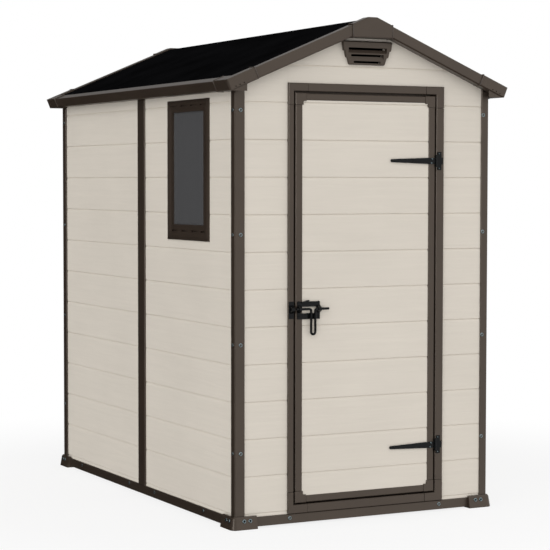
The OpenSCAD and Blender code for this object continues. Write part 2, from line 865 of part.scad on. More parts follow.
// A strap pressed out over the bar: its sides slope from the plate to a narrow
// crest, and it is bored b wider than the bar
module arch(x0, x1, b) {
    r = bar_r + b;
    crest = bar_y - r - 2.5;
    half = 4.5 + b / 2;
    root = half + 11;
    difference() {
        yz(x0, x1) polygon([[plate_y + 0.5, bolt_z - root], [plate_y, bolt_z - root], [crest, bolt_z - half],
                            [crest, bolt_z + half], [plate_y, bolt_z + root], [plate_y + 0.5, bolt_z + root]]);
        translate([x0 - 1, bar_y, bolt_z]) rotate([0, 90, 0]) cylinder(h = x1 - x0 + 2, r = r);
    }
}

module bolt_plate() {
    x1 = bolt_plate_x + bolt_plate_w;
    z0 = bolt_z + bolt_plate_top - bolt_plate_h;
    z1 = bolt_z + bolt_plate_top;
    // the arches stand clear of the loop through its whole travel
    left = loop_x0 - bolt_travel - shoulder + bar_r - 4.5;
    right = leg_right + shoulder + 4.5;
    color(BLACK) {
        difference() {
            block([bolt_plate_x, plate_y, z0], [x1, face_y, z1]);
            block([bolt_plate_x + 14.5, plate_y - 1, z0 + 23], [x1 - 15, face_y + 1, z0 + 49]);
        }
        // pads that bridge the recess behind the plate
        for (z = [z0, z1 - 12])
            block([leaf_x0 + stile_w + 4, face_y - 1, z], [x1, leaf_face_y, z + 12]);
        arch(bolt_plate_x + 2, left, 0.1);
        arch(right, x1, 0.1);
        // an angled lug on the top edge
        translate([bolt_plate_x + 19, 0, z1 - 6]) rotate([0, -14, 0])
            block([0, plate_y - 7, 0], [32, plate_y + 1, 5]);
    }
}

module bolt_keeper() {
    x0 = frame_x0;
    z1 = bolt_z + bolt_plate_top + 1;
    color(BLACK) {
        block([x0, plate_y, z1 - 67], [x0 + keeper_w, face_y, z1]);
        arch(x0 + 4, x0 + keeper_w - 4, 2.2);
    }
}

module bar(x0, x1) {
    translate([x0, bar_y, bolt_z]) rotate([0, 90, 0]) cylinder(h = x1 - x0, r = bar_r);
}

module bolt_rod() {
    color(BLACK) {
        bar(bolt_x0, leg_left - shoulder - fit);
        bar(leg_right + shoulder + fit, bolt_x0 + bar_len);
    }
}

// A quarter or half ring of the bar in the X-Z plane
module bend(x, z, from, sweep, r) {
    translate([x, bar_y, z]) rotate([90, 0, 0]) rotate([0, 0, from])
        rotate_extrude(angle = sweep) translate([r, 0]) circle(bar_r);
}

module bolt_handle() {
    r = (leg_right - leg_left) / 2;
    top = bolt_z - shoulder;
    low = bolt_z - loop_drop + bar_r + r;
    color(BLACK) {
        bend(leg_left - shoulder, top, 0, 90, shoulder);
        bend(leg_right + shoulder, top, 90, 90, shoulder);
        for (x = [leg_left, leg_right]) translate([x, bar_y, low]) cylinder(h = top - low, r = bar_r);
        bend((leg_left + leg_right) / 2, low, 180, 180, r);
    }
}

// ---- roof ----

// Places children in roof space: X up the right slope from the outer eave
// edge, Y back from the front edge and Z down through the roof.
module on_slope() {
    translate([roof_hw, -roof_hd, eave_z]) rotate([0, 180 + pitch, 0]) children();
}

slope_len = roof_hw / cos(pitch);

module roof_panel() {
    a = skin_n + 0.5;
    low = ridge_z - panel_n0;         // flat under the ridge caps
    x_flat = cap_flat - (panel_n0 / cos(pitch) - panel_n0) / tan(pitch);
    xz(-roof_hd + a, roof_hd - a)
        polygon([roof_at(a, panel_n0), [x_flat, low], [fit, low],
                 [fit, roof_z(fit, panel_n1)], roof_at(a, panel_n1)]);
}

module roof_panel_right() { color(ROOFING) roof_panel(); }
module roof_panel_left() { color(ROOFING) mirror([1, 0, 0]) roof_panel(); }

soffit_w = gable_over + skin_t - 0.5; // reach of the soffit under a barge board

corner_r = 9;                         // rounding of the outer corners of the roof
hole_x = hw - 15.5;                   // drain holes in the corner pieces of the roof
hole_pitch = 17.5;
hole_r = 2.6;
hole_n = barge_face - 3.6;

// Section of a barge board in (w, n): w back from the gable edge, n depth. The
// outside is set in by s from the outermost skin.
function barge_face_n(s) = barge_face + 0.4 * (sleeve - s);
function barge_section(s) = let (f = barge_face_n(s), e = barge_edge) [
    [flange_w, s], [s + edge, s], [s, s + edge], [s, f], [s + e, f + e], [soffit_w, f],
    [soffit_w, f - 3.5], [skin_n + e, f + e - 4.5], [skin_n, f - 2.5], [skin_n, skin_n], [flange_w, skin_n]];

module barge_length(s, a0, a1) {
    on_slope() rotate([90, 0, 90]) translate([0, 0, a0]) linear_extrude(a1 - a0) polygon(barge_section(s));
}

module barge_boards() {
    color(BROWN) mirror_x() difference() {
        barge_length(sleeve, corner_slope + fit, slope_len);
        block([-roof_hw, -roof_hd - 1, 0], [cap_half + fit, roof_hd, 2 * ridge_z]);
    }
}

module barge_boards_front() { barge_boards(); }
module barge_boards_back() { mirror([0, 1, 0]) barge_boards(); }

// Section of an eave trim in X and Z, its outside set in by s
function eave_section(s) = let (z = soffit_z + s, t = skin_n) [
    roof_at(flange_w + 5, s), roof_at(s + edge, s), roof_at(s, s + edge),
    roof_at(s, (eave_z + s * sin(pitch) - z) / cos(pitch)), [hw + 0.5, z], [hw + 0.5, soffit_z + t],
    roof_at(t, (eave_z + t * sin(pitch) - soffit_z - t) / cos(pitch)),
    roof_at(t, t), roof_at(flange_w + 5, t)];

module eave_trims() {
    y = roof_hd - corner_eave - fit;
    color(BROWN) mirror_x() xz(-y, y) polygon(eave_section(sleeve));
}

// Everything behind the outer faces of a barge board
module barge_envelope() {
    f = barge_face_n(0);
    on_slope() rotate([90, 0, 90]) translate([0, 0, -100]) linear_extrude(slope_len + 100)
        polygon([[edge + 0.5, -0.5], [-0.5, edge + 0.5], [-0.5, f - 0.5], [barge_edge, f + barge_edge],
                 [barge_edge, 300], [300, 300], [300, -0.5]]);
}

// Everything inside the outer faces of an eave trim, above the soffit
module eave_envelope() {
    xz(-roof_hd - 1, 0) intersection() {
        polygon([roof_at(edge + 0.5, -0.5), roof_at(-0.5, edge + 0.5), roof_at(-0.5, 200),
                 roof_at(500, 200), roof_at(500, -0.5)]);
        translate([0, soffit_z]) square([roof_hw + 50, ridge_z]);
    }
}

module roof_corner() {
    y1 = -roof_hd + corner_eave;
    n1 = barge_face + 1;
    end_x = roof_hw + (eave_z - n1 / cos(pitch) - soffit_z + 1) / tan(pitch);
    difference() {
        union() {
            intersection() {
                barge_length(0, 0, corner_slope);
                eave_envelope();
            }
            // plate that closes the end of the eave under the barge board
            intersection() {
                xz(-roof_hd + barge_edge, -roof_hd + barge_edge + trim_t)
                    polygon([[hw + 0.5, soffit_z - 1], [end_x, soffit_z - 1], [hw + 0.5, roof_z(hw + 0.5, n1)]]);
                eave_envelope();
            }
            intersection() {
                xz(-roof_hd, y1) polygon(eave_section(0));
                barge_envelope();
            }
        }
        // a row of drain holes along the lower edge of the face
        for (i = [0:2]) let (x = hole_x + i * hole_pitch)
            translate([x, -roof_hd - 1, roof_z(x, hole_n)]) rotate([-90, 0, 0])
                cylinder(h = 10, r = hole_r, $fn = 20);
        // the outer corner is rounded square to the slope
        on_slope() translate([0, 0, -5]) linear_extrude(2 * barge_face) difference() {
            translate([-1, -1]) square(corner_r + 1);
            translate([corner_r, corner_r]) circle(corner_r);
        }
    }
}

module roof_corners() {
    color(BROWN) mirror_x() mirror_y() roof_corner();
}

// A cap has a level lower edge with a soffit behind it
module ridge_cap() {
    t = skin_n;
    e = 4;
    function top(x, n) = [[x, roof_z(x, n)], [cap_flat, ridge_z - n], [-cap_flat, ridge_z - n], [-x, roof_z(x, n)]];
    color(BROWN) {
        xz(-roof_hd + edge, -roof_hd + t)
            polygon(concat([[-cap_half, cap_z + 1], [cap_half, cap_z + 1]], top(cap_half, 0)));
        xz(-roof_hd, -roof_hd + edge + 1)
            polygon(concat([[-cap_half, cap_z + e], [cap_half, cap_z + e]], top(cap_half, edge)));
        // flange over the ridge
        xz(-roof_hd + edge, -roof_hd + flange_w)
            polygon(concat(top(cap_half, 0), [for (i = [3:-1:0]) top(cap_half, t)[i]]));
        block([-cap_half, -roof_hd + e, cap_z], [cap_half, -roof_hd + soffit_w - 0.1, cap_z + 5]);
    }
}

module ridge_cap_front() { ridge_cap(); }
module ridge_cap_back() { mirror([0, 1, 0]) ridge_cap(); }

// ---- drawing ----

floor_panel();
base_rails();
foot_brackets();
corner_post_front_left();
corner_post_front_right();
corner_post_back_left();
corner_post_back_right();
side_mullions();
back_mullion();
left_wall_front();
left_wall_rear();
right_wall_front();
right_wall_rear();
front_wall_left();
front_wall_right();
front_gable();
back_wall_left();
back_wall_right();
window_frame();
window_pane();
vent_front();
vent_back();
door_jamb_left();
door_jamb_right();
door_head();
door_sill();
door_frame_corners();
hinge_plates();
bolt_keeper();
roof_panel_left();
roof_panel_right();
ridge_cap_front();
ridge_cap_back();
barge_boards_front();
barge_boards_back();
eave_trims();
roof_corners();
door_panel();
door_stiles();
door_rails();
door_leaf_corners();
hinge_straps();
bolt_plate();
bolt_rod();
bolt_handle();
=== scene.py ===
"""A small garden shed of moulded resin, on a plain studio floor. Metres, Z up, the door faces -Y."""

import math

import bmesh
import bpy
import numpy as np
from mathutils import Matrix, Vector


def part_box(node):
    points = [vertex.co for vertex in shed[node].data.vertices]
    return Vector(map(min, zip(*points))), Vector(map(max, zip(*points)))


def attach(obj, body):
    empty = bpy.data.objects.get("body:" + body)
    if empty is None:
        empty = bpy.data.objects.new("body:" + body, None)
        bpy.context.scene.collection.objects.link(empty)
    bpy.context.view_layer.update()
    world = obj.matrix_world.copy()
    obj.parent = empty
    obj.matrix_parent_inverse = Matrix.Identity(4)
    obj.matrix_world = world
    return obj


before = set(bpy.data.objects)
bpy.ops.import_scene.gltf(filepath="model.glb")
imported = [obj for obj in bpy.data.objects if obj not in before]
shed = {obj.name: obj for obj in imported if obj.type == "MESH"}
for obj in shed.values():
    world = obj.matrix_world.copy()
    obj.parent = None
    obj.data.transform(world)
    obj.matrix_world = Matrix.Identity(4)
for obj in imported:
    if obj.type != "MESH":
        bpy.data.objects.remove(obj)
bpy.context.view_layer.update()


# ---- Walls ----
# Double-walled panels blow moulded in cream resin. The outer faces are clad with level
# boards 145 mm high, with a fine wood grain in relief that starts afresh on every board.


def linear(red, green, blue):
    """A colour of eight-bit display values as the linear colour that a shader takes."""
    values = np.array([red, green, blue]) / 255
    curve = np.where(values <= 0.04045, values / 12.92, ((values + 0.055) / 1.055) ** 2.4)
    return (*curve.tolist(), 1.0)


def group_start(name, inputs, outputs):
    """An empty shader node group with float inputs {name: default} and float outputs [name]."""
    group = bpy.data.node_groups.new(name, "ShaderNodeTree")
    for label, value in inputs.items():
        socket = group.interface.new_socket(label, in_out="INPUT", socket_type="NodeSocketFloat")
        socket.default_value = value
    for label in outputs:
        group.interface.new_socket(label, in_out="OUTPUT", socket_type="NodeSocketFloat")
    return group, group.nodes.new("NodeGroupInput").outputs, group.nodes.new("NodeGroupOutput").inputs


def place(tree, kind, inputs=None, **settings):
    """Adds a node, sets its properties, and links or sets its inputs by name or number."""
    node = tree.nodes.new(kind)
    for key, value in settings.items():
        setattr(node, key, value)
    for key, value in (inputs or {}).items():
        if isinstance(value, bpy.types.NodeSocket):
            tree.links.new(value, node.inputs[key])
        else:
            node.inputs[key].default_value = value
    return node


def maths(tree, operation, *values):
    """One Math node of these values or sockets; gives its output."""
    return place(tree, "ShaderNodeMath", dict(enumerate(values)), operation=operation).outputs[0]


def noise(tree, where, scale, detail, **more):
    """A noise mask from 0 to 1, with scale cells to each unit of where."""
    return place(tree, "ShaderNodeTexNoise",
                 {"Vector": where, "Scale": scale, "Detail": detail, **more}).outputs["Fac"]


def stretch(tree, value, low, high):
    """Spreads the part of a noise between 0.3 and 0.7, where most of it lies, over low to high."""
    return place(tree, "ShaderNodeMapRange", {"Value": value, "From Min": 0.3, "From Max": 0.7,
                                              "To Min": low, "To Max": high}).outputs[0]


def resin(name, colour, roughness, specular=0.5):
    """A material with a Principled BSDF whose uniform values are set on its own sockets."""
    material = bpy.data.materials.new(name)
    material.use_nodes = True
    shader = material.node_tree.nodes["Principled BSDF"]
    shader.inputs["Base Color"].default_value = colour
    shader.inputs["Roughness"].default_value = roughness
    shader.inputs["Specular IOR Level"].default_value = specular
    material.diffuse_color = colour
    return material, material.node_tree, shader


def mottle(tree, shader, colour, amount):
    """Makes the base colour vary: at each point it is the colour times amount, which is near 1."""
    shade = place(tree, "ShaderNodeVectorMath", {0: colour[:3], "Scale": amount}, operation="SCALE")
    tree.links.new(shade.outputs[0], shader.inputs["Base Color"])


def emboss(tree, shader, height, strength, depth):
    """Gives the surface the relief of a height mask, whose full range is depth in metres."""
    relief = place(tree, "ShaderNodeBump", {"Height": height, "Strength": strength, "Distance": depth})
    tree.links.new(relief.outputs[0], shader.inputs["Normal"])


def dress(nodes, material):
    """Gives CAD nodes one material."""
    for name in nodes:
        shed[name].data.materials.clear()
        shed[name].data.materials.append(material)


BOARD = 0.145                           # height of a board
FIRST_SEAM = 0.058                      # height of the lowest seam above the ground
BOARD_SHIFT = 7.31                      # how far the grain moves on from one board to the next
CELLS_ALONG, CELLS_UP = 3.0, 70.0       # grain cells to the metre along a board and up it
PORES = (6.0, 6.0, 4.0)                 # pores to a grain cell, along and up
STREAK_SHARE, PORE_SHARE = 0.75, 0.25   # of the relief's height

# wood grain in relief: noise drawn out along the board, shifted on every board
board_grain, grain_in, grain_out = group_start(
    "board_grain", {"Seam": FIRST_SEAM, "Board": BOARD}, ["Height", "Tone"])
t = board_grain
where = place(t, "ShaderNodeTexCoord").outputs["Object"]
axes = place(t, "ShaderNodeSeparateXYZ", {0: where}).outputs
over_seam = maths(t, "SUBTRACT", axes["Z"], grain_in["Seam"])
board_number = maths(t, "FLOOR", maths(t, "DIVIDE", over_seam, grain_in["Board"]))
shift = maths(t, "MULTIPLY", board_number, BOARD_SHIFT)
along = place(t, "ShaderNodeCombineXYZ", {
    0: maths(t, "MULTIPLY", maths(t, "ADD", axes["X"], shift), CELLS_ALONG),
    1: maths(t, "MULTIPLY", maths(t, "ADD", axes["Y"], shift), CELLS_ALONG),
    2: maths(t, "MULTIPLY", axes["Z"], CELLS_UP)}).outputs[0]
finer = place(t, "ShaderNodeVectorMath", {0: along, 1: PORES}, operation="MULTIPLY").outputs[0]
streaks = noise(t, along, 1.0, 5.0, Roughness=0.55, Distortion=0.6)
pores = noise(t, finer, 1.0, 3.0)
t.links.new(maths(t, "ADD", maths(t, "MULTIPLY", streaks, STREAK_SHARE),
                  maths(t, "MULTIPLY", pores, PORE_SHARE)), grain_out["Height"])
t.links.new(noise(t, where, 2.2, 2.0), grain_out["Tone"])

CREAM = linear(216, 208, 196)
cream, t, shader = resin("cream_resin", CREAM, roughness=0.62, specular=0.35)
grain = place(t, "ShaderNodeGroup", node_tree=board_grain).outputs
mottle(t, shader, CREAM, maths(t, "MULTIPLY", stretch(t, grain["Tone"], 0.975, 1.02),
                               stretch(t, grain["Height"], 0.97, 1.025)))
emboss(t, shader, grain["Height"], strength=0.7, depth=0.0014)
dress(["left_wall_front", "left_wall_rear", "right_wall_front", "right_wall_rear", "front_wall_left",
       "front_wall_right", "front_gable", "back_wall_left", "back_wall_right", "door_panel"], cream)


# ---- Floor, rails, posts and trims ----
# Injection moulded and extruded parts in dark brown resin, with the faint pebbled skin of
# the mould and slow changes of tone over each part.

skin_grain, skin_in, skin_out = group_start("moulded_skin", {"Scale": 420.0}, ["Height", "Tone"])
t = skin_grain
where = place(t, "ShaderNodeTexCoord").outputs["Object"]
t.links.new(noise(t, where, skin_in["Scale"], 3.0), skin_out["Height"])
t.links.new(noise(t, where, 6.0, 4.0), skin_out["Tone"])

BROWN = linear(55, 46, 39)
brown, t, shader = resin("brown_resin", BROWN, roughness=0.40, specular=0.68)
shader.inputs["Specular Tint"].default_value = (1.0, 0.87, 0.75, 1.0)
skin = place(t, "ShaderNodeGroup", node_tree=skin_grain).outputs
mottle(t, shader, BROWN, stretch(t, skin["Tone"], 0.92, 1.08))
emboss(t, shader, skin["Height"], strength=0.25, depth=0.0004)
dress(["floor_panel", "base_rails", "foot_brackets", "corner_post_front_left", "corner_post_front_right",
       "corner_post_back_left", "corner_post_back_right", "side_mullions", "back_mullion", "window_frame",
       "vent_front", "vent_back", "door_jamb_left", "door_jamb_right", "door_head", "door_sill",
       "door_frame_corners", "ridge_cap_front", "ridge_cap_back", "barge_boards_front",
       "barge_boards_back", "eave_trims", "roof_corners", "door_stiles", "door_rails",
       "door_leaf_corners"], brown)


# ---- Roof ----
# Two panels moulded in black resin, dull and slightly rough, that meet at the ridge. The
# flanges of the barge boards and eave trims hold them down along their other edges.

BLACK = linear(11, 11, 12)
black, t, shader = resin("black_roof_resin", BLACK, roughness=0.9, specular=0.0)
skin = place(t, "ShaderNodeGroup", {"Scale": 260.0}, node_tree=skin_grain).outputs
mottle(t, shader, BLACK, maths(t, "MULTIPLY", stretch(t, skin["Tone"], 0.7, 1.3),
                               stretch(t, skin["Height"], 0.75, 1.25)))
emboss(t, shader, skin["Height"], strength=0.3, depth=0.0005)
dress(["roof_panel_left", "roof_panel_right"], black)


# ---- Joint beads of the roof trims ----
# The corner pieces and ridge caps slide over the boards beside them, and end in a small
# round bead that stiffens the mouth of each sleeve. Brown resin, moulded on.

# The beads are a lighter brown than the trims: a painted highlight along each bead.
BEAD_HIGHLIGHT_BROWN = linear(72, 62, 54)
bead_highlight_brown, t, shader = resin("brown_resin_painted_highlight", BEAD_HIGHLIGHT_BROWN, roughness=0.42)
skin = place(t, "ShaderNodeGroup", node_tree=skin_grain).outputs
mottle(t, shader, BEAD_HIGHLIGHT_BROWN, stretch(t, skin["Tone"], 0.85, 1.1))

BEAD_R = 0.0024
BEAD_SIDES = 10
BEAD_OUT = 0.0016                   # from the end of a sleeve to the middle of its bead
PITCH = math.radians(22.8)
EAVE_X, EAVE_Z = 0.642, 1.7285      # the trims' top outer edge at the eave, right-hand side
GABLE_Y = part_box("roof_corners")[1].y
CORNER_UP, CORNER_BACK = 0.129, 0.114   # how far a corner piece reaches up the slope and along the eave
TRIM_DEPTH = 0.043


def add_piece(name, points, faces, material, body, slot, merge=0.0, smooth=True, **masks):
    """Makes closed shells a piece that rides on a body: points nearer than merge become one,
    and the faces turn outwards. Each mask holds one value for each point, for the material."""
    mesh = bpy.data.meshes.new(name)
    mesh.from_pydata(np.concatenate(points).tolist(), [], faces)
    for label, values in masks.items():
        mask = mesh.attributes.new(label, "FLOAT", "POINT")
        mask.data.foreach_set("value", values.astype(np.float32))
    shells = bmesh.new()
    shells.from_mesh(mesh)
    bmesh.ops.remove_doubles(shells, verts=shells.verts, dist=merge)
    bmesh.ops.recalc_face_normals(shells, faces=shells.faces)
    shells.to_mesh(mesh)
    shells.free()
    if smooth:
        mesh.shade_smooth()
    mesh.materials.append(material)
    item = bpy.data.objects.new(name, mesh)
    bpy.context.collection.objects.link(item)
    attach(item, body)


def round_bead(path):
    """The rings of a round bead along a path, as points. Every ring is a circle of BEAD_R in
    the plane that halves the bend at its point, widened by 1 / cos(half the bend) so that the
    bead keeps its thickness, and the two ends close in a small dome."""
    around = np.linspace(0, 2 * np.pi, BEAD_SIDES, endpoint=False)[None, :, None]
    legs = np.diff(path, axis=0)
    legs /= np.linalg.norm(legs, axis=1)[:, None]
    flat = np.cross(legs[0], legs[len(legs) // 2])
    flat /= np.linalg.norm(flat)
    before, after = np.vstack([legs[:1], legs]), np.vstack([legs, legs[-1:]])
    side = np.cross(flat, before + after)
    side /= np.linalg.norm(side, axis=1)[:, None]
    side /= (side * np.cross(flat, before)).sum(1)[:, None]
    first, last = BEAD_R * legs[0], BEAD_R * legs[-1]
    path = np.vstack([path[0] - first, path[0] - 0.7 * first, path, path[-1] + 0.7 * last, path[-1] + last])
    dome = np.array([0.02, 0.7, *[1.0] * (len(path) - 4), 0.7, 0.02])[:, None, None]
    side = np.vstack([side[:1], side[:1], side, side[-1:], side[-1:]])[:, None] * dome
    return path[:, None] + BEAD_R * (np.cos(around) * side + np.sin(around) * dome * flat)


def on_slope(along, depth):
    """X and Z of a place on the right-hand slope: along the slope from the eave, and below it."""
    return (EAVE_X - along * math.cos(PITCH) - depth * math.sin(PITCH),
            EAVE_Z + along * math.sin(PITCH) - depth * math.cos(PITCH))


# each rim runs over the flange, down the face and under the soffit
paths = []
for sx in (1, -1):
    for sy in (1, -1):
        # across the barge board, in from the gable and down
        inward, depth = np.transpose([(0.045, 0), (0.001, 0), (0, 0.001), (0, 0.0415),
                                      (0.005, 0.0465), (0.040, 0.0428)])
        x, z = on_slope(CORNER_UP + BEAD_OUT, depth)
        paths.append(np.stack([sx * x, sy * (GABLE_Y - inward), z], -1))
        # across the eave trim, up the slope and down, then level under the soffit
        along, depth = np.transpose([(0.050, 0), (0.002, 0), (0, 0.002), (0, TRIM_DEPTH)])
        x, z = on_slope(along, depth)
        x, z = np.append(x, EAVE_X - 0.045), np.append(z, z[-1])
        paths.append(np.stack([sx * x, 0 * x + sy * (GABLE_Y - CORNER_BACK - BEAD_OUT), z], -1))
cap_low, cap_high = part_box("ridge_cap_front")
cap_x = cap_high.x + BEAD_OUT
cap_top = EAVE_Z + (EAVE_X - cap_x) * math.tan(PITCH)
for sx in (1, -1):
    for sy in (1, -1):
        # the upright edge of a ridge cap, in from the gable
        inward, z = np.transpose([(0.040, cap_top), (0.001, cap_top), (0, cap_top - 0.001),
                                  (0, cap_low.z + 0.003), (0.003, cap_low.z), (0.045, cap_low.z)])
        paths.append(np.stack([0 * z + sx * cap_x, sy * (GABLE_Y - inward), z], -1))

bead_points, bead_faces, start = [], [], 0
for path in paths:
    rings = round_bead(path)
    ring, step = np.meshgrid(np.arange(len(rings) - 1), np.arange(BEAD_SIDES), indexing="ij")
    a, b = start + ring * BEAD_SIDES + step, start + ring * BEAD_SIDES + (step + 1) % BEAD_SIDES
    bead_points.append(rings.reshape(-1, 3))
    bead_faces.append(np.stack([a, a + BEAD_SIDES, b + BEAD_SIDES, b], -1).reshape(-1, 4))
    start += len(rings) * BEAD_SIDES
add_piece("joint_beads", bead_points, np.concatenate(bead_faces).tolist(), bead_highlight_brown,
          "shell", "trim_resin", merge=BEAD_R * 0.05)


# ---- Corner webs ----
# Thin webs moulded inside the roof's corner pieces close the gap that would show between
# the barge board, the eave trim and the corner post. Brown resin, 2 mm thick.

WEB_T = 0.002
WEB_IN = 0.0053                     # from the corner piece's outer face to the web
POST_LAP = 0.0305                   # how far the web reaches in past the post's outer edge
WEB_SHORT = 0.003                   # how far it stops short of the corner piece's lower edge
WEB_DROP = 0.030                    # from the slope of the trims' top down to its upper point
inner_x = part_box("corner_post_front_right")[1].x - POST_LAP
outer_x, soffit = on_slope(0, TRIM_DEPTH)
under_board = EAVE_Z + (EAVE_X - inner_x) * math.tan(PITCH) - WEB_DROP
outline_x = np.array([inner_x, outer_x - WEB_SHORT, inner_x])
outline_z = np.array([soffit, soffit, under_board])
web_points, web_faces = [], []
for sx in (1, -1):
    for sy in (1, -1):
        k = 3 * len(web_points)
        for inward in (WEB_IN, WEB_IN + WEB_T):
            y = sy * (GABLE_Y - inward)
            web_points.append(np.stack([sx * outline_x, np.full(3, y), outline_z], -1))
        web_faces += [(k, k + 1, k + 2), (k + 5, k + 4, k + 3)]
        web_faces += [(k + i, k + 3 + i, k + 3 + (i + 1) % 3, k + (i + 1) % 3) for i in range(3)]
add_piece("corner_webs", web_points, web_faces, brown, "shell", "trim_resin", smooth=False)


# ---- Screws ----
# Zinc-plated pan-head screws with a cross recess hold the posts, rails, foot brackets,
# roof corners and hinges. Each head is a dome about its axis, with the recess pressed in.

# The second colour is near black: painted shade for the inside of each screw's cross recess.
ZINC, RECESS_SHADE = linear(150, 166, 171), linear(8, 10, 11)
zinc, t, shader = resin("zinc_plate", ZINC, roughness=0.35)
shader.inputs["Metallic"].default_value = 1.0
skin = place(t, "ShaderNodeGroup", {"Scale": 900.0}, node_tree=skin_grain).outputs
t.links.new(stretch(t, skin["Tone"], 0.28, 0.5), shader.inputs["Roughness"])
# The recess mask paints the cross and the round middle of each head near black: painted shade.
in_recess = place(t, "ShaderNodeAttribute", attribute_name="recess").outputs["Fac"]
plate = place(t, "ShaderNodeMix", {0: in_recess, 6: ZINC, 7: RECESS_SHADE}, data_type="RGBA").outputs[2]
t.links.new(plate, shader.inputs["Base Color"])

HEAD_SIDES = 24
HEAD_RINGS = np.array([0, 0.10, 0.20, 0.33, 0.47, 0.60, 0.74, 0.90, 1.0, 1.0, 0])


def screw_heads(name, body, spots, radius, finish):
    """Joins domed heads at spots of (place, outward direction). At s radii from its axis a
    head stands 0.42 (1 - s ^ 2.6) radii above its seat. A recess 0.45 radii deep is pressed
    in: a cross of bars that fade out between 0.12 and 0.19 radii from their middle lines and
    between 0.54 and 0.66 radii from the axis, and a round middle that fades out between 0.50
    and 0.60. The last two rings are the foot of a skirt and the middle of a flat back, both
    0.12 radii below the seat."""
    s, turn = np.meshgrid(HEAD_RINGS, np.linspace(0, 2 * np.pi, HEAD_SIDES, endpoint=False), indexing="ij")
    u, v = s * np.cos(turn), s * np.sin(turn)
    across = np.minimum(np.abs(u), np.abs(v))
    along = np.maximum(np.abs(u), np.abs(v))
    recess = np.clip((0.19 - across) / 0.07, 0, 1) * np.clip((0.66 - along) / 0.12, 0, 1)
    recess = np.maximum(recess, np.clip((0.60 - s) / 0.10, 0, 1))
    height = 0.42 * (1 - s ** 2.6) - 0.45 * recess
    recess[-2:], height[-2:] = 0, -0.12
    ring, step = np.meshgrid(np.arange(len(HEAD_RINGS) - 1), np.arange(HEAD_SIDES), indexing="ij")
    a, b = ring * HEAD_SIDES + step, ring * HEAD_SIDES + (step + 1) % HEAD_SIDES
    sides = np.stack([a, a + HEAD_SIDES, b + HEAD_SIDES, b], -1).reshape(-1, 4)
    points, faces = [], []
    for number, (spot, outward) in enumerate(spots):
        outward = np.array(outward, float) / np.linalg.norm(outward)
        level = np.cross([0, 0, 1.0] if abs(outward[2]) < 0.9 else [0, 1.0, 0], outward)
        level /= np.linalg.norm(level)
        up = np.cross(outward, level)
        head = radius * (u[..., None] * level + v[..., None] * up + height[..., None] * outward)
        points.append(np.array(spot) + head.reshape(-1, 3))
        faces.append(sides + number * recess.size)
    add_piece(name, points, np.concatenate(faces).tolist(), finish, body, "hardware",
              merge=radius * 0.01, recess=np.tile(recess.ravel(), len(spots)))


FRAME_HEAD_R = 0.0078
POST_ROWS = (0.294, 0.715, 1.140, 1.618)        # heights of the screws up each post
POST_FRONT_IN, POST_SIDE_IN = 0.026, 0.019      # from the post's corner, on its two faces
RAIL_END_X, RAIL_END_Z = (-0.340, 0.350), 0.027
RAIL_SIDE_Y, RAIL_SIDE_Z = (0.685, 0.126, -0.149, -0.634), 0.030
FOOT_OUT, FOOT_Z, FOOT_TILT = 0.0140, 0.033, 0.19   # the foot brackets' faces lean back
FOOT_FRONT_IN, FOOT_SIDE_IN = (0.035, 0.061), (0.021, 0.048)
BARGE_X, BARGE_IN = 0.528, 0.030                # under the barge board, from the gable's face
BARGE_DEPTH, BARGE_TILT = 0.0433, 0.12

left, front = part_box("corner_post_front_left")[0].xy
right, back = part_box("corner_post_front_right")[1].x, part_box("corner_post_back_left")[1].y
spots = []
for z in POST_ROWS:
    for x, inward in ((left, 1), (right, -1)):
        for y, out in ((front, -1), (back, 1)):
            spots.append(((x + inward * POST_FRONT_IN, y, z), (0, out, 0)))
            spots.append(((x, y - out * POST_SIDE_IN, z), (-inward, 0, 0)))
for x in RAIL_END_X:
    spots += [((x, front, RAIL_END_Z), (0, -1, 0)), ((x, back, RAIL_END_Z), (0, 1, 0))]
for y in RAIL_SIDE_Y:
    spots += [((left, y, RAIL_SIDE_Z), (-1, 0, 0)), ((right, y, RAIL_SIDE_Z), (1, 0, 0))]
for x, inward in ((left, 1), (right, -1)):
    for y, out in ((front, -1), (back, 1)):
        for d in FOOT_FRONT_IN:
            spots.append(((x + inward * d, y + out * FOOT_OUT, FOOT_Z), (0, out, FOOT_TILT)))
        for d in FOOT_SIDE_IN:
            spots.append(((x - inward * FOOT_OUT, y - out * d, FOOT_Z), (-inward, 0, FOOT_TILT)))
x, z = on_slope((EAVE_X - BARGE_X) / math.cos(PITCH) - BARGE_DEPTH * math.tan(PITCH), BARGE_DEPTH)
for sx in (1, -1):
    for sy in (1, -1):
        spots.append(((sx * x, sy * (GABLE_Y - BARGE_IN), z),
                      (-sx * math.sin(PITCH), -sy * BARGE_TILT, -math.cos(PITCH))))
screw_heads("frame_screws", "shell", spots, FRAME_HEAD_R, zinc)


# ---- Window pane ----
# A sheet of tinted clear plastic 4 mm thick, dropped from inside into a rebate of the
# window frame. It doesn't open.

pane, t, shader = resin("tinted_pane", linear(86, 86, 87), roughness=0.12, specular=0.5)
shader.inputs["Alpha"].default_value = 0.85
dress(["window_pane"], pane)


# ---- Hinges and bolt ----
# Pressed steel and a bent round bar, in semi-gloss black paint. Two screws and two rivets
# hold each strap, two screws each hinge plate, and four the bolt's plate.

paint, t, shader = resin("black_paint", linear(14, 15, 16), roughness=0.2, specular=0.16)
skin = place(t, "ShaderNodeGroup", {"Scale": 700.0}, node_tree=skin_grain).outputs
emboss(t, shader, skin["Height"], strength=0.15, depth=0.0003)
dress(["hinge_plates", "hinge_straps", "bolt_plate", "bolt_keeper", "bolt_rod", "bolt_handle"], paint)

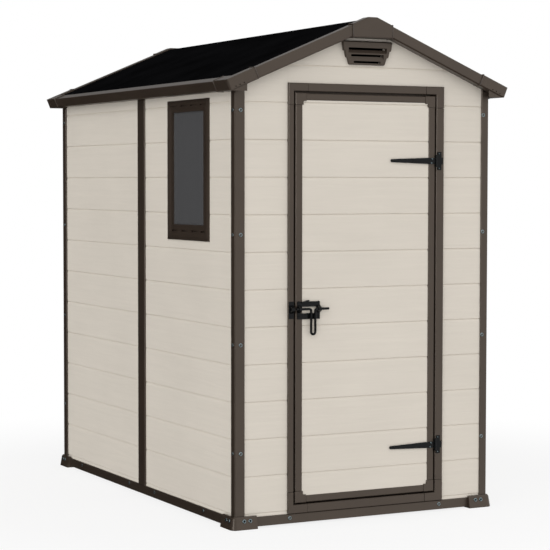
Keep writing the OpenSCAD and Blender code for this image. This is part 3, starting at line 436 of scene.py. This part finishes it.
SEAT_Y = -0.927                     # the outer face of the straps and plates
HINGES_Z = (0.275, 1.4285)
STRAP_SCREWS = ((0.306, 0.008), (0.3025, -0.0085))      # X, and how far above the hinge's middle
STRAP_RIVETS_X = (0.215, 0.126)
HINGE_PLATE_X, HINGE_PLATE_UP = 0.3385, 0.030
BOLT_Z, BOLT_IN, BOLT_UP = 0.847, 0.007, 0.028          # in from the plate's ends, up from its middle

outwards = (0, -1, 0)
strap_spots = [((x, SEAT_Y, z + up), outwards) for z in HINGES_Z for x, up in STRAP_SCREWS]
screw_heads("strap_screws", "door", strap_spots, 0.0033, zinc)
rivet_spots = [((x, SEAT_Y, z), outwards) for z in HINGES_Z for x in STRAP_RIVETS_X]
screw_heads("strap_rivets", "door", rivet_spots, 0.0034, paint)
plate_spots = [((HINGE_PLATE_X, SEAT_Y, z + sign * HINGE_PLATE_UP), outwards)
               for z in HINGES_Z for sign in (1, -1)]
screw_heads("hinge_plate_screws", "shell", plate_spots, 0.0022, zinc)
bolt_low, bolt_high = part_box("bolt_plate")
bolt_spots = [((x, SEAT_Y, BOLT_Z + sign * BOLT_UP), outwards)
              for x in (bolt_low.x + BOLT_IN, bolt_high.x - BOLT_IN) for sign in (1, -1)]
screw_heads("bolt_plate_screws", "door", bolt_spots, 0.0034, paint)


# ---- Studio ----
# A white room that is brightest in front and to the right, a pale paper floor, a broad soft
# lamp on the left for plain light, and a narrower one beside it for highlights alone.

world = bpy.data.worlds.new("studio")
bpy.context.scene.world = world
world.use_nodes = True
t = world.node_tree
t.nodes.clear()
heading = place(t, "ShaderNodeTexCoord").outputs["Generated"]


def ramp(tree, value, low, high, least):
    """A smooth rise from least, where value is low or less, to 1, where it is high or more."""
    return place(tree, "ShaderNodeMapRange", {"Value": value, "From Min": low, "From Max": high,
                                              "To Min": least}, interpolation_type="SMOOTHSTEP").outputs[0]


def open_side(towards, dark_below, bright_above, darkest):
    """How bright the room is each way: from darkest where a ray's direction makes a small dot
    product with the direction towards the open side, smoothly up to 1 where it is large."""
    facing = place(t, "ShaderNodeVectorMath", {0: heading, 1: towards}, operation="DOT_PRODUCT")
    return ramp(t, facing.outputs["Value"], dark_below, bright_above, darkest)


ROOM_STRENGTH = 0.86
brightness = maths(t, "MULTIPLY", open_side((0.62, -0.50, 0.60), -0.5, 0.65, 0.25), ROOM_STRENGTH)
room = place(t, "ShaderNodeBackground", {"Color": (1, 1, 1, 1), "Strength": brightness})
ray = place(t, "ShaderNodeLightPath").outputs
straight = maths(t, "ADD", ray["Is Camera Ray"], ray["Is Transmission Ray"])
white = maths(t, "MAXIMUM", straight, open_side((0.80, -0.32, 0.50), -0.3, 0.62, 0.0))
seen = place(t, "ShaderNodeBackground", {"Color": (1, 1, 1, 1), "Strength": white})
# what is seen straight or in a reflection is white, and the rest only lights the shed
share = maths(t, "ADD", straight, ray["Is Glossy Ray"])
mix = place(t, "ShaderNodeMixShader", {0: share, 1: room.outputs[0], 2: seen.outputs[0]})
place(t, "ShaderNodeOutputWorld", {0: mix.outputs[0]})

FLOOR_R = 3.2
FLOOR_SIDES = 96
SHADOW_R, WHITE_R = 1.2, 2.8        # the floor turns from mostly white to all white between them
turn = np.linspace(0, 2 * np.pi, FLOOR_SIDES, endpoint=False)
edge = np.stack([FLOOR_R * np.cos(turn), FLOOR_R * np.sin(turn), 0 * turn], -1)
floor_mesh = bpy.data.meshes.new("studio_floor")
floor_mesh.from_pydata(edge.tolist(), [], [tuple(range(FLOOR_SIDES))])
floor = bpy.data.objects.new("studio_floor", floor_mesh)
bpy.context.collection.objects.link(floor)
# no light comes up from the floor, under the eaves or on the feet of the walls
floor.visible_diffuse = floor.visible_glossy = False
paper, t, shader = resin("paper_floor", (0.85, 0.85, 0.85, 1), roughness=0.9, specular=0.0)
glow = place(t, "ShaderNodeEmission", {"Color": (1, 1, 1, 1), "Strength": 1.0})
from_middle = place(t, "ShaderNodeVectorMath", {0: place(t, "ShaderNodeTexCoord").outputs["Object"]},
                    operation="LENGTH").outputs["Value"]
ray = place(t, "ShaderNodeLightPath").outputs
straight = maths(t, "ADD", ray["Is Camera Ray"], ray["Is Transmission Ray"])
share = maths(t, "MULTIPLY", maths(t, "ADD", straight, ray["Is Glossy Ray"]),
              ramp(t, from_middle, SHADOW_R, WHITE_R, 0.8))
mix = place(t, "ShaderNodeMixShader", {0: share, 1: shader.outputs[0], 2: glow.outputs[0]})
t.links.new(mix.outputs[0], t.nodes["Material Output"].inputs["Surface"])
floor_mesh.materials.append(paper)


def soft_lamp(name, comes_from, strength, spread, only_gloss=False):
    """A lamp so far off that it lights every part alike; spread is the angle that it fills. It
    gives either plain light without highlights, or highlights alone."""
    data = bpy.data.lights.new(name, "SUN")
    data.energy, data.angle = strength, math.radians(spread)
    item = bpy.data.objects.new(name, data)
    bpy.context.collection.objects.link(item)
    item.visible_glossy, item.visible_diffuse = only_gloss, not only_gloss
    x, y, z = comes_from
    item.rotation_euler = (math.atan2(math.hypot(x, y), z), 0, math.atan2(y, x) + math.pi / 2)


soft_lamp("side_lamp", (-0.90, -0.42, 0.05), 2.08, 100)
soft_lamp("edge_lamp", (-0.87, -0.46, 0.16), 0.9, 16, only_gloss=True)

# at about eye height, in front of the door and well to the left
camera_data = bpy.data.cameras.new("camera")
camera_data.lens, camera_data.sensor_width = 119.877, 36.0
camera = bpy.data.objects.new("camera", camera_data)
bpy.context.collection.objects.link(camera)
camera.location = (-3.67013, -7.21674, 1.34413)
camera.rotation_euler = (math.radians(90 - 2.9168), math.radians(-0.0574), math.radians(-27.3943))
bpy.context.scene.camera = camera
bpy.context.scene.view_settings.view_transform = "Standard"
